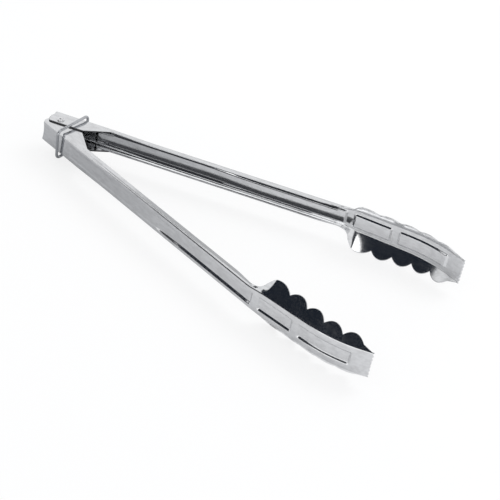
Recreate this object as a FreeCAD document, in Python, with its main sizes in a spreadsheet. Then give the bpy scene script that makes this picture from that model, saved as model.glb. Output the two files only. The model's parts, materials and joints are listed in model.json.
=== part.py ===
import FreeCAD, Part
import Sketcher
import math
import os

from FreeCAD import Placement, Rotation, Vector

# Spring loaded tongs, millimetres. The rivet's axis is +Z through the origin, the jaws point along +X and the
# two arms stand open on either side of +X. Each arm is one stamping: pivot ears, a channel and a scalloped jaw.

doc = FreeCAD.newDocument("tongs")
sheet = doc.addObject("Spreadsheet::Sheet", "Sizes")

SIZES = [
    ("metal", 1.0, "sheet thickness of the arms"),
    ("web_offset", 9.7, "rivet axis to the outer face of an arm's web"),
    ("open_angle", 14.4, "each arm's angle from the centre plane, at rest"),
    ("arm_length", 301.5, "rivet axis to tip, measured along the web"),
    ("jaw_length", 86.2, "jaw's start to tip, measured along the web"),
    ("head_reach", 7.0, "rivet axis back to the end of the web"),
    ("ear_radius", 8.2, "rounded end of an ear, about the rivet axis"),
    ("ear_reach", 4.5, "how far an ear crosses the centre plane"),
    ("ear_length", 19.0, "rivet axis to where the ear starts to narrow"),
    ("ear_end", 37.0, "rivet axis to where the ear has become a flange"),
    ("shift_start", 30.0, "rivet axis to where the head's section starts to become the channel's"),
    ("shift_end", 70.0, "rivet axis to where it has become the channel's"),
    ("low_ear", 8.0, "outer face of the nested ear, from the middle"),
    ("ear_gap", 0.1, "gap between two nested ears"),
    ("arm_half", 8.2, "half the height of the channel"),
    ("flange_depth", 4.8, "depth of the channel's flanges"),
    ("throat_depth", 3.4, "depth of the flange just before the jaw"),
    ("throat_lead", 5.0, "that place to the jaw's start"),
    ("throat_run", 25.0, "length over which the flange narrows to it"),
    ("fold_radius", 1.6, "outer radius of the channel's folds"),
    ("head_fold_radius", 2.4, "outer radius of the folds at the head"),
    ("jaw_half_start", 8.1, "half the width of the jaw's back at its start"),
    ("jaw_half_end", 9.1, "half the width of the jaw's back at its tip"),
    ("widen_lead", 22.0, "where the back starts to widen, before the jaw's start"),
    ("widen_trail", 4.0, "where the back has widened, past the jaw's start"),
    ("first_bend", 5.9, "inward bend before the jaw, degrees"),
    ("first_lead", 7.3, "middle of that bend to the jaw's start"),
    ("first_radius", 30.0, "radius of that bend"),
    ("second_bend", 24.0, "inward bend near the tip, degrees"),
    ("second_radius", 85.5, "radius of that bend"),
    ("second_step", 59.4, "jaw's start to the middle of that bend"),
    ("wing_flare", 48.0, "angle of the jaw's wings, degrees from straight inward"),
    ("flare_lead", 11.0, "where the flanges start to open out, before the jaw's start"),
    ("flare_trail", 7.0, "where they are fully open, past the jaw's start"),
    ("scallop_pitch", 14.65, "distance between two valleys"),
    ("scallop_height", 4.4, "height of a scallop over its valleys"),
    ("valley_step", 19.8, "jaw's start to the first valley"),
    ("first_wing", 9.4, "wing length at the first valley"),
    ("last_wing", 4.2, "wing length at the last valley"),
    ("head_groove", 0.25, "depth of the long groove near the head"),
    ("arm_groove", 1.5, "depth of the long groove near the jaw"),
    ("jaw_groove", 1.15, "depth of the jaw's two grooves"),
    ("deepen_start", 104.0, "where the long groove starts to deepen"),
    ("deepen_end", 152.0, "where the long groove has its full depth"),
    ("groove_half", 3.8, "half the width of a groove's floor"),
    ("groove_slope", 1.3, "width of each sloping side of a groove"),
    ("groove_run", 1.6, "length of the slope at each end of a groove"),
    ("rib_growth", 0.4, "how much wider a groove's back is than the groove, on each side"),
    ("groove_start", 24.0, "where the long groove starts"),
    ("bridge", 4.6, "length of the flat bridge between two grooves"),
    ("bridge_lead", 1.2, "middle of the first bridge to the jaw's start"),
    ("bridge_step", 31.9, "jaw's start to the middle of the second bridge"),
    ("groove_step", 73.0, "jaw's start to the end of the last groove"),
    ("tooth_pitch", 2.8, "pitch of the teeth across the tip"),
    ("tooth_depth", 1.1, "depth of the teeth"),
    ("rivet_radius", 2.0, "shank of the rivet"),
    ("rivet_fit", 0.05, "radial clearance of the rivet in the ears"),
    ("dome_radius", 2.9, "radius of the rivet's domed head"),
    ("dome_height", 1.5, "height of the rivet's domed head"),
    ("washer_radius", 3.6, "radius of the washer"),
    ("washer_height", 0.8, "thickness of the washer"),
    ("clench_radius", 2.8, "radius of the rivet's clenched end"),
    ("clench_height", 1.0, "height of the rivet's clenched end"),
    ("sleeve_radius", 3.1, "outer radius of the sleeve on the rivet"),
    ("sleeve_gap", 0.05, "end gap of the sleeve between the inner ears"),
    ("wire", 1.3, "diameter of the spring's wire"),
    ("coil_radius", 4.1, "radius of the spring's coil, at the wire's middle"),
    ("coil_half", 4.6, "half the height of the coil, at the wire's middle"),
    ("coil_turns", 5.0, "whole turns of the spring"),
    ("leg_length", 38.0, "length of each spring leg"),
    ("ring_wire", 2.0, "diameter of the lock ring's wire"),
    ("ring_place", 11.2, "rivet axis to the lock ring"),
    ("ring_side_gap", 0.95, "gap between the ring and the webs, at rest"),
    ("ring_clearance", 1.1, "gap between the ring and the outer ears, before it leans"),
    ("ring_corner", 3.2, "corner radius of the ring, at the wire's middle"),
    ("ring_lean", 3.0, "how far the ring leans across the arms, degrees"),
    ("ring_swing", 5.0, "how far the ring is turned about the rivet's axis, degrees"),
]

for row, (alias, number, meaning) in enumerate(SIZES, start=1):
    sheet.set(f"A{row}", alias)
    sheet.set(f"B{row}", str(number))
    sheet.set(f"C{row}", meaning)
    sheet.setAlias(f"B{row}", alias)

WEB_SPREAD = "web_offset / cos(open_angle * 1 deg) + ring_front * tan(open_angle * 1 deg)"
DERIVED = [
    ("high_ear", "low_ear + ear_gap + metal", "outer face of the outer ear, from the middle"),
    ("jaw_start", "arm_length - jaw_length", "rivet axis to the jaw's start"),
    ("first_place", "jaw_start - first_lead", "middle of the first bend"),
    ("second_place", "jaw_start + second_step", "middle of the second bend"),
    ("first_valley", "jaw_start + valley_step", "first valley"),
    ("groove_split", "jaw_start + bridge_step", "middle of the second bridge"),
    ("groove_end", "jaw_start + groove_step", "end of the last groove"),
    ("ring_front", "ring_place + ring_wire / 2", "front of the ring's wire"),
    ("web_spread", WEB_SPREAD, "outer face of a web from the centre plane, at the front of the ring"),
    ("ring_half_width", "web_spread + ring_side_gap + ring_wire / 2", "half the ring's width, to the wire"),
]

for row, (alias, formula, meaning) in enumerate(DERIVED, start=len(SIZES) + 2):
    sheet.set(f"A{row}", alias)
    sheet.set(f"B{row}", f"={formula}")
    sheet.set(f"C{row}", meaning)
    sheet.setAlias(f"B{row}", alias)
doc.recompute()


def size(alias):
    return float(sheet.get(alias))


metal = size("metal")
web = size("web_offset")


# ---- the arm's back, as a line with two bends, seen from above

def back_pieces():
    """Stretches of the back's outer line: (length, signed turn in radians)."""
    pieces = []
    place = 0.0
    bends = [
        (size("first_place"), size("first_bend"), size("first_radius")),
        (size("second_place"), size("second_bend"), size("second_radius")),
    ]
    for middle, degrees, radius in bends:
        turn = math.radians(degrees)
        half = radius * turn / 2
        pieces.append((middle - half - place, 0.0))
        pieces.append((2 * half, turn))
        place = middle + half
    pieces.append((size("arm_length") - place, 0.0))
    return pieces


def back_at(along):
    """Point on the back's outer face and its heading, at a distance along the web."""
    x, y, heading = min(along, 0.0), web, 0.0
    left = max(along, 0.0)
    for length, turn in back_pieces():
        step = min(left, length)
        part = turn * step / length
        if part == 0:
            x += step * math.cos(heading)
            y -= step * math.sin(heading)
        else:
            radius = step / part
            x += radius * (math.sin(heading + part) - math.sin(heading))
            y -= radius * (math.cos(heading) - math.cos(heading + part))
            heading += part
        left -= step
    return x + left * math.cos(heading), y - left * math.sin(heading), heading


def plan_point(along, inward):
    """Point at a depth inward of the back's outer face, seen from above."""
    x, y, heading = back_at(along)
    return Vector(x - inward * math.sin(heading), y - inward * math.cos(heading), 0)


# ---- cross sections of the stamping

def blend(along, start, end):
    share = min(max((along - start) / (end - start), 0.0), 1.0)
    return share * share * (3 - 2 * share)


def mix(one, two, share):
    return one + (two - one) * share


def channel_share(along):
    """How far the head's section has become the channel's."""
    return blend(along, size("shift_start"), size("shift_end"))


def halves(along):
    """Heights of the upper and the lower fold above and below the middle."""
    jaw = size("jaw_start")
    share = min(max((along - jaw) / size("jaw_length"), 0.0), 1.0)
    arm = size("arm_half")
    wider = mix(size("jaw_half_start"), size("jaw_half_end"), share) - arm
    wider *= blend(along, jaw - size("widen_lead"), jaw + size("widen_trail"))
    ramp = channel_share(along)
    return mix(size("high_ear"), arm, ramp) + wider, mix(size("low_ear"), arm, ramp) + wider


def fold_radius_at(along):
    return mix(size("head_fold_radius"), size("fold_radius"), channel_share(along))


def flare_at(along):
    jaw = size("jaw_start")
    return math.radians(size("wing_flare")) * blend(along, jaw - size("flare_lead"), jaw + size("flare_trail"))


def wing_reach(along):
    """Length of the flanges and wings before their edges are trimmed."""
    margin = 2.0
    ears = web + size("ear_reach") + margin
    arm = size("flange_depth") + margin
    crest = size("first_wing") + size("scallop_height") + 2 * margin
    end, jaw = size("ear_end"), size("jaw_start")
    reach = mix(ears, arm, blend(along, end + 2 * margin, end + 7 * margin))
    return reach + (crest - arm) * blend(along, jaw - size("widen_lead"), jaw)


def groove_spans():
    """Start, end and depth of each groove: the depth is None where it changes along the groove."""
    gap = size("bridge") / 2
    first = size("jaw_start") - size("bridge_lead")
    split = size("groove_split")
    return [
        (size("groove_start"), first - gap, None),
        (first + gap, split - gap, size("jaw_groove")),
        (split + gap, size("groove_end"), size("jaw_groove")),
    ]


def groove_at(along):
    for start, end, depth in groove_spans():
        if start < along < end:
            if depth is None:
                share = blend(along, size("deepen_start"), size("deepen_end"))
                depth = mix(size("head_groove"), size("arm_groove"), share)
            return depth * min((along - start) / size("groove_run"), (end - along) / size("groove_run"), 1.0)
    return 0.0


def corner_arc(before, corner, after, radius):
    """Three points of the arc that rounds a corner."""
    one = (before - corner).normalize()
    two = (after - corner).normalize()
    half = one.getAngle(two) / 2
    reach = radius / math.tan(half)
    middle = (one + two).normalize()
    centre = corner + middle * (radius / math.sin(half))
    return corner + one * reach, centre - middle * radius, corner + two * reach


def section_wire(along):
    """Closed outline of the sheet across the web: u is inward from the outer face, v is up."""
    upper, lower = halves(along)
    flare = flare_at(along)
    reach = wing_reach(along)
    depth = groove_at(along)
    floor = size("groove_half")
    shoulder = floor + size("groove_slope")
    growth = size("rib_growth")
    shift = metal * (1 - math.sin(flare)) / math.cos(flare)
    inner_drop = metal * math.cos(flare) - shift * math.sin(flare)
    tip_in = metal * math.sin(flare)
    tip_down = metal * math.cos(flare)

    def side(half, sign):
        tip = (reach * math.cos(flare), half + reach * math.sin(flare))
        outer = [Vector(tip[0], sign * tip[1]), Vector(0, sign * half), Vector(0, 0)]
        inner = [
            Vector(tip[0] + tip_in, sign * (tip[1] - tip_down)),
            Vector(metal, sign * (half - inner_drop)),
            Vector(metal, 0),
        ]
        return outer, inner

    top_outer, top_inner = side(upper, 1)
    low_outer, low_inner = side(lower, -1)
    outer_radius = fold_radius_at(along)
    inner_radius = outer_radius - metal

    def groove(base, wider):
        return [
            Vector(base, shoulder + wider),
            Vector(base + depth, floor + wider),
            Vector(base + depth, -floor - wider),
            Vector(base, -shoulder - wider),
        ]

    x, y, heading = back_at(along)

    def place(point):
        return Vector(x - point.x * math.sin(heading), y - point.x * math.cos(heading), point.y)

    edges = []

    def line(one, two):
        edges.append(Part.LineSegment(place(one), place(two)).toShape())

    def arc(points):
        edges.append(Part.Arc(*[place(p) for p in points]).toShape())

    top = corner_arc(*top_outer, outer_radius)
    low = corner_arc(*low_outer, outer_radius)
    low_in = corner_arc(*low_inner, inner_radius)
    top_in = corner_arc(*top_inner, inner_radius)
    outside = [top[2], *groove(0, 0), low[2]]
    inside = [low_in[2], *reversed(groove(metal, growth)), top_in[2]]
    line(top_outer[0], top[0])
    arc(top)
    for one, two in zip(outside, outside[1:]):
        line(one, two)
    arc(tuple(reversed(low)))
    line(low[0], low_outer[0])
    line(low_outer[0], low_inner[0])
    line(low_inner[0], low_in[0])
    arc(low_in)
    for one, two in zip(inside, inside[1:]):
        line(one, two)
    arc(tuple(reversed(top_in)))
    line(top_in[0], top_inner[0])
    line(top_inner[0], top_outer[0])
    return Part.Wire(edges)


def spread_marks(start, end, steps):
    return [mix(start, end, step / steps) for step in range(steps + 1)]


def stations():
    """Distances along the web where the cross section is drawn."""
    jaw = size("jaw_start")
    spare = 4.0
    kept = [-size("head_reach") - spare, size("arm_length")]
    for start, end, _ in groove_spans():
        kept += [start, start + size("groove_run"), end - size("groove_run"), end]
    marks = spread_marks(size("shift_start"), size("shift_end"), 7)
    marks += spread_marks(size("deepen_start"), size("deepen_end"), 6)
    marks += spread_marks(jaw - size("widen_lead"), jaw - size("flare_lead"), 2)
    marks += spread_marks(jaw - size("flare_lead"), jaw + size("flare_trail"), 6)
    for place, degrees, radius, steps in (
        (size("first_place"), size("first_bend"), size("first_radius"), 1),
        (size("second_place"), size("second_bend"), size("second_radius"), 9),
    ):
        half = radius * math.radians(degrees) / 2
        marks += spread_marks(place - half, place + half, steps)
    clear = 0.7
    for mark in marks:
        if all(abs(mark - other) > clear for other in kept):
            kept.append(mark)
    return sorted(kept)


# ---- the edges of the stamping, seen from above

SCALLOPS = 4                    # whole scallops after the first one


def valley(index):
    along = size("first_valley") + index * size("scallop_pitch")
    return along, mix(size("first_wing"), size("last_wing"), index / SCALLOPS)


def edge_point(along, length):
    """Point on the edge of a wing of this length, seen from above."""
    return plan_point(along, length * math.cos(flare_at(along)))


def plan_outline():
    """Closed outline of one arm from above, open past the web's outer side."""
    away = 6.0
    edges = []

    def line(one, two):
        edges.append(Part.LineSegment(one, two).toShape())

    def arc(one, middle, two):
        edges.append(Part.Arc(one, middle, two).toShape())

    radius = size("ear_radius")
    head = -size("head_reach")
    reach = -size("ear_reach")
    jaw = size("jaw_start")
    throat = jaw - size("throat_lead")
    outer_start = Vector(head, web + away, 0)
    ear_start = Vector(head, math.sqrt(radius ** 2 - head ** 2), 0)
    ear_stop = Vector(-math.sqrt(radius ** 2 - reach ** 2), reach, 0)
    ear_corner = Vector(size("ear_length"), reach, 0)
    flange_start = Vector(size("ear_end"), web - size("flange_depth"), 0)
    flange_stop = plan_point(throat - size("throat_run"), size("flange_depth"))
    lip = plan_point(throat, size("throat_depth"))
    line(outer_start, ear_start)
    arc(ear_start, Vector(-radius, 0, 0), ear_stop)
    line(ear_stop, ear_corner)
    line(ear_corner, flange_start)
    line(flange_start, flange_stop)
    line(flange_stop, lip)

    crest = size("first_wing") + size("scallop_height")
    swell_step, swell_share = -0.6, 0.36
    rise_step, rise_share = 1.6, 0.6
    crest_step = 0.6
    swell = edge_point(jaw + swell_step, swell_share * crest)
    rise = edge_point(jaw + rise_step, rise_share * crest)
    first_along, first_length = valley(0)
    first_crest = edge_point((jaw + first_along) / 2 - crest_step, crest)
    arc(lip, swell, rise)
    arc(rise, first_crest, edge_point(first_along, first_length))
    for index in range(SCALLOPS):
        one, two = valley(index), valley(index + 1)
        middle = (one[0] + two[0]) / 2
        height = (one[1] + two[1]) / 2 + size("scallop_height")
        arc(edge_point(*one), edge_point(middle, height), edge_point(*two))

    end = size("arm_length")
    tip_step, tip_wing = 1.5, 1.2
    spare, edge = 3.0, 0.2
    tip = edge_point(end - tip_step, tip_wing)
    past = plan_point(end + spare, edge)
    outer_end = plan_point(end + spare, -away)
    outer_middle = plan_point(size("second_place"), -away)
    line(edge_point(*valley(SCALLOPS)), tip)
    line(tip, past)
    line(past, outer_end)
    line(outer_end, outer_middle)
    line(outer_middle, outer_start)
    return Part.Wire(edges)


def tip_teeth():
    """Small wedges that cut the row of teeth across the tip."""
    x, y, heading = back_at(size("arm_length"))
    half = size("tooth_pitch") / 2
    deep = size("tooth_depth")
    past = 0.05
    spare = 2.0
    wedges = []
    for index in range(-3, 4):
        middle = 2 * half * index
        corners = [Vector(past, 0, middle - half), Vector(-deep, 0, middle), Vector(past, 0, middle + half)]
        face = Part.Face(Part.makePolygon(corners + corners[:1]))
        wedge = face.extrude(Vector(0, -metal - 2 * spare, 0))
        wedge.translate(Vector(0, spare, 0))
        wedge.rotate(Vector(0, 0, 0), Vector(0, 0, 1), -math.degrees(heading))
        wedge.translate(Vector(x, y, 0))
        wedges.append(wedge)
    return wedges


def arm_shape():
    blank = Part.makeLoft([section_wire(along) for along in stations()], True, True)
    tall = 60.0
    outline = Part.Face(plan_outline()).extrude(Vector(0, 0, tall))
    outline.translate(Vector(0, 0, -tall / 2))
    trimmed = blank.common(outline)
    return trimmed.cut(tip_teeth())


def add_arm(label, turned_over, angle):
    """One stamping with its rivet hole. The second arm is the same stamping turned over."""
    stamping = doc.addObject("Part::Feature", f"{label}_stamping")
    stamping.Shape = arm_shape()
    hole = doc.addObject("Part::Cylinder", f"{label}_hole")
    hole.setExpression("Radius", "Sizes.rivet_radius + Sizes.rivet_fit")
    hole.setExpression("Height", "4 * Sizes.high_ear")
    hole.setExpression("Placement.Base.z", "-2 * Sizes.high_ear")
    arm = doc.addObject("Part::Cut", label)
    arm.Base = stamping
    arm.Tool = hole
    arm.Label = label
    turn = Rotation(Vector(1, 0, 0), 180) if turned_over else Rotation()
    arm.Placement = Placement(Vector(0, 0, 0), Rotation(Vector(0, 0, 1), angle) * turn)
    return arm


# ---- the pivot

def add_cylinder(name, radius, height, base):
    """A cylinder on the rivet's axis. Radius, height and base are expressions."""
    cylinder = doc.addObject("Part::Cylinder", name)
    cylinder.setExpression("Radius", radius)
    cylinder.setExpression("Height", height)
    cylinder.setExpression("Placement.Base.z", base)
    return cylinder


def add_bushing(label, outer, inner, height, base):
    """A round piece with a round hole, on the rivet's axis."""
    piece = doc.addObject("Part::Cut", label)
    piece.Base = add_cylinder(f"{label}_outside", outer, height, base)
    piece.Tool = add_cylinder(f"{label}_bore", inner, f"{height} + 2", f"{base} - 1")
    piece.Label = label
    return piece


def origin_plane(body, role):
    return next(plane for plane in body.Origin.OriginFeatures if plane.Role == role)


def attached_sketch(body, name, role):
    sketch = body.newObject("Sketcher::SketchObject", name)
    sketch.AttachmentSupport = [(origin_plane(body, role), "")]
    sketch.MapMode = "FlatFace"
    return sketch


def bind(sketch, kind, *where, expression, seed):
    """A sized constraint that follows the sheet."""
    number = sketch.addConstraint(Sketcher.Constraint(kind, *where, seed))
    sketch.setExpression(f"Constraints[{number}]", expression)


def add_rivet(label):
    """Shank, domed head on top and clenched end below, turned from one outline."""
    top = size("high_ear")
    foot = -top - size("washer_height")
    body = doc.addObject("PartDesign::Body", label)
    body.Label = label
    sketch = attached_sketch(body, f"{label}_outline", "XZ_Plane")
    shank, dome, clench = size("rivet_radius"), size("dome_radius"), size("clench_radius")
    peak, bottom = top + size("dome_height"), foot - size("clench_height")
    outline = [(0, bottom), (clench, bottom), (clench, foot), (shank, foot), (shank, top), (dome, top), (0, peak)]
    count = len(outline)
    fullness = 0.72
    for index in range(count):
        one, two = Vector(*outline[index], 0), Vector(*outline[(index + 1) % count], 0)
        if index == 5:
            swell = Vector(dome * fullness, top + size("dome_height") * fullness, 0)
            sketch.addGeometry(Part.Arc(one, swell, two), False)
        else:
            sketch.addGeometry(Part.LineSegment(one, two), False)
    arc_first = 2 if abs(sketch.Geometry[5].StartPoint.x) < 1e-6 else 1
    arc_last = 3 - arc_first
    for index in range(count - 1):
        end = arc_last if index == 5 else 2
        start = arc_first if index + 1 == 5 else 1
        sketch.addConstraint(Sketcher.Constraint("Coincident", index, end, index + 1, start))
    sketch.addConstraint(Sketcher.Constraint("Coincident", count - 1, 2, 0, 1))
    sketch.addConstraint(Sketcher.Constraint("PointOnObject", 0, 1, -2))
    sketch.addConstraint(Sketcher.Constraint("Vertical", 6))
    for index in (0, 2, 4):
        sketch.addConstraint(Sketcher.Constraint("Horizontal", index))
    for index in (1, 3):
        sketch.addConstraint(Sketcher.Constraint("Vertical", index))
    sketch.addConstraint(Sketcher.Constraint("PointOnObject", 5, 3, -2))
    bind(sketch, "DistanceX", -1, 1, 1, 1, expression="Sizes.clench_radius", seed=clench)
    bind(sketch, "DistanceX", -1, 1, 3, 1, expression="Sizes.rivet_radius", seed=shank)
    bind(sketch, "DistanceX", -1, 1, 4, 2, expression="Sizes.dome_radius", seed=dome)
    bind(sketch, "DistanceY", -1, 1, 3, 2, expression="Sizes.high_ear", seed=top)
    bind(sketch, "DistanceY", 4, 2, 6, 1, expression="Sizes.dome_height", seed=size("dome_height"))
    bind(sketch, "DistanceY", 3, 1, -1, 1, expression="Sizes.high_ear + Sizes.washer_height", seed=-foot)
    bind(sketch, "DistanceY", 0, 2, 1, 2, expression="Sizes.clench_height", seed=size("clench_height"))
    turned = body.newObject("PartDesign::Revolution", f"{label}_turned")
    turned.Profile = sketch
    turned.ReferenceAxis = (sketch, ["V_Axis"])
    turned.Angle = 360
    body.Tip = turned
    return body


# ---- the spring

def add_spring(label):
    """A coil round the sleeve with a straight leg along the inside of each web."""
    radius, wire = size("coil_radius"), size("wire")
    leg_gap = 0.1
    touch = web - metal - size("head_groove") - wire / 2 - leg_gap
    spread = math.degrees(math.atan((touch - radius) / size("leg_length")))
    lean = size("open_angle") + spread
    last = 270 - lean
    coil = doc.addObject("Part::Helix", f"{label}_line")
    coil.LocalCoord = "Left-handed"
    coil.setExpression("Radius", "Sizes.coil_radius")
    coil.setExpression("Height", "2 * Sizes.coil_half")
    coil.Pitch = 2 * size("coil_half") / (size("coil_turns") + 0.5 - lean / 180)
    section = doc.addObject("Part::Circle", f"{label}_section")
    section.setExpression("Radius", "Sizes.wire / 2")
    section.Placement = Placement(Vector(radius, 0, 0), Rotation(Vector(1, 0, 0), 90))
    swept = doc.addObject("Part::Sweep", f"{label}_coil")
    swept.Sections = [section]
    swept.Spine = coil
    swept.Solid = True
    swept.Frenet = True
    swept.Placement = Placement(Vector(0, 0, -size("coil_half")), Rotation(Vector(0, 0, 1), last))
    pieces = [swept]
    for name, side in (("far", 1), ("near", -1)):
        height = side * size("coil_half")
        angle = side * lean
        place = Rotation(Vector(0, 0, 1), angle).multVec(Vector(0, side * radius, 0)) + Vector(0, 0, height)
        elbow = doc.addObject("Part::Sphere", f"{label}_{name}_elbow")
        elbow.setExpression("Radius", "Sizes.wire / 2")
        elbow.Placement.Base = place
        leg = doc.addObject("Part::Cylinder", f"{label}_{name}_leg")
        leg.setExpression("Radius", "Sizes.wire / 2")
        leg.setExpression("Height", "Sizes.leg_length")
        leg.Placement = Placement(place, Rotation(Vector(0, 0, 1), angle) * Rotation(Vector(0, 1, 0), 90))
        pieces += [elbow, leg]
    spring = doc.addObject("Part::MultiFuse", label)
    spring.Shapes = pieces
    spring.Label = label
    return spring


# ---- the lock ring

def add_ring(label):
    """A rounded rectangle of wire around both arms, just in front of the rivet."""
    wide = size("ring_half_width")
    tall = size("high_ear") + size("ring_clearance") + size("ring_wire") / 2
    corner = size("ring_corner")
    body = doc.addObject("PartDesign::Body", label)
    body.Label = label
    path = attached_sketch(body, f"{label}_path", "YZ_Plane")
    flat, steep = wide - corner, tall - corner
    quarter = math.pi / 2
    runs = [((0, tall), (flat, tall)), ((wide, steep), (wide, -steep)), ((flat, -tall), (-flat, -tall))]
    runs += [((-wide, -steep), (-wide, steep)), ((-flat, tall), (0, tall))]
    centres = [(flat, steep), (flat, -steep), (-flat, -steep), (-flat, steep)]
    for one, two in runs:
        path.addGeometry(Part.LineSegment(Vector(*one, 0), Vector(*two, 0)), False)
    for index, centre in enumerate(centres):
        start = -index * quarter
        circle = Part.Circle(Vector(*centre, 0), Vector(0, 0, 1), corner)
        path.addGeometry(Part.ArcOfCircle(circle, start, start + quarter), False)
    for index in range(4):
        path.addConstraint(Sketcher.Constraint("Tangent", index, 2, 5 + index, 2))
        path.addConstraint(Sketcher.Constraint("Tangent", 5 + index, 1, index + 1, 1))
    path.addConstraint(Sketcher.Constraint("Coincident", 4, 2, 0, 1))
    path.addConstraint(Sketcher.Constraint("PointOnObject", 0, 1, -2))
    for index, kind in enumerate(("Horizontal", "Vertical", "Horizontal", "Vertical", "Horizontal")):
        path.addConstraint(Sketcher.Constraint(kind, index))
    for index in (6, 7, 8):
        path.addConstraint(Sketcher.Constraint("Equal", 5, index))
    bind(path, "Radius", 5, expression="Sizes.ring_corner", seed=corner)
    height = "Sizes.high_ear + Sizes.ring_clearance + Sizes.ring_wire / 2"
    bind(path, "DistanceY", -1, 1, 0, 1, expression=height, seed=tall)
    bind(path, "DistanceY", 2, 1, -1, 1, expression=height, seed=tall)
    bind(path, "DistanceX", -1, 1, 1, 1, expression="Sizes.ring_half_width", seed=wide)
    bind(path, "DistanceX", 3, 1, -1, 1, expression="Sizes.ring_half_width", seed=wide)
    section = attached_sketch(body, f"{label}_section", "XZ_Plane")
    section.addGeometry(Part.Circle(Vector(0, tall, 0), Vector(0, 0, 1), size("ring_wire") / 2), False)
    section.addConstraint(Sketcher.Constraint("PointOnObject", 0, 3, -2))
    bind(section, "DistanceY", -1, 1, 0, 3, expression=height, seed=tall)
    bind(section, "Radius", 0, expression="Sizes.ring_wire / 2", seed=size("ring_wire") / 2)
    doc.recompute()
    pipe = body.newObject("PartDesign::AdditivePipe", f"{label}_wire")
    pipe.Profile = section
    pipe.Spine = (path, [f"Edge{number}" for number in range(1, 10)])
    body.Tip = pipe
    swing = Rotation(Vector(0, 0, 1), -size("ring_swing"))
    lean = Rotation(Vector(1, 0, 0), size("ring_lean"))
    body.Placement = Placement(Vector(size("ring_place"), 0, 0), swing * lean)
    return body


# ---- the whole

parts = [
    add_arm("near_arm", True, -size("open_angle")),
    add_arm("far_arm", False, size("open_angle")),
    add_rivet("pivot_rivet"),
    add_bushing(
        "rivet_washer",
        "Sizes.washer_radius",
        "Sizes.rivet_radius",
        "Sizes.washer_height",
        "-Sizes.high_ear - Sizes.washer_height",
    ),
    add_bushing(
        "spring_sleeve",
        "Sizes.sleeve_radius",
        "Sizes.rivet_radius",
        "2 * (Sizes.low_ear - Sizes.metal - Sizes.sleeve_gap)",
        "-(Sizes.low_ear - Sizes.metal - Sizes.sleeve_gap)",
    ),
    add_spring("torsion_spring"),
    add_ring("lock_ring"),
]

doc.recompute()
for item in doc.Objects:
    if "Invalid" in item.State or "Error" in item.State:
        raise SystemExit(f"{item.Name} did not compute: {item.State}")

# The origin is the middle of the whole, on the plane that it lies on.
whole = Part.makeCompound([part.Shape for part in parts]).optimalBoundingBox(False)
origin = Vector(whole.Center.x, whole.Center.y, whole.ZMin)
for part in parts:
    part.Placement.Base = part.Placement.Base - origin
doc.recompute()
print("rivet axis at", -origin.x, -origin.y, "middle of the head at", -origin.z)

os.makedirs("parts", exist_ok=True)
for part in parts:
    shape = part.Shape
    if shape.isNull() or not shape.isValid():
        raise SystemExit(f"{part.Label} has no valid shape")
    shape.exportStep(os.path.join("parts", f"{part.Label}.step"))
    box = shape.optimalBoundingBox(False)
    spans = [box.XMin, box.XMax, box.YMin, box.YMax, box.ZMin, box.ZMax]
    print(part.Label, len(shape.Solids), round(shape.Volume, 1), [round(value, 2) for value in spans])
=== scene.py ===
"""Looks of the spring loaded tongs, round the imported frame.

The stampings, the spring and the ring are drawn in millimetres about the rivet's axis, at the middle of the
head, and their objects are placed in the frame in metres.
"""

import json
import math

import bmesh
import bpy
from mathutils import Matrix, Vector


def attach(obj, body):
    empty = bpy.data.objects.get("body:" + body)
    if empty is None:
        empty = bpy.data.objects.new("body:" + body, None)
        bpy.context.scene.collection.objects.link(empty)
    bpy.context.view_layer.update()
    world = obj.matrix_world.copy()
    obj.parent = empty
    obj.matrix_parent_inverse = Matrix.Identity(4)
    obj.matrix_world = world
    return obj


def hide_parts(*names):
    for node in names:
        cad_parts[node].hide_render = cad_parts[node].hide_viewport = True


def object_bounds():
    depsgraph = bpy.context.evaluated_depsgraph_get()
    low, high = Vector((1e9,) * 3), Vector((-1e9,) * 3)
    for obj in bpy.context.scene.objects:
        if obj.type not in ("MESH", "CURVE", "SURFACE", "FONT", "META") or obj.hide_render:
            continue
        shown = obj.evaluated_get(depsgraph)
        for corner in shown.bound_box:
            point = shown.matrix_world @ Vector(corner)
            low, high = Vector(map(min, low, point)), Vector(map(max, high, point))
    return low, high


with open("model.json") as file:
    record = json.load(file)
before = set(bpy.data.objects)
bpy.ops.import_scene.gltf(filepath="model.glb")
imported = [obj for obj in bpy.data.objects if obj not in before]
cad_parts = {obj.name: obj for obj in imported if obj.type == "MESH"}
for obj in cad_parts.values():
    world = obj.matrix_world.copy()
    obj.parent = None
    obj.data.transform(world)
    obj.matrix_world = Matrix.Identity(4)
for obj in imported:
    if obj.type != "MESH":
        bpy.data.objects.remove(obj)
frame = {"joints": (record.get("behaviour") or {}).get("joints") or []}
cad_low, cad_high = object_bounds()

MM = 0.001
HINGE = next(joint for joint in frame["joints"] if joint["name"] == "far_arm_hinge")
PIVOT = Vector((HINGE["pos_m"][0], HINGE["pos_m"][1], (cad_low.z + cad_high.z) / 2))

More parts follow.
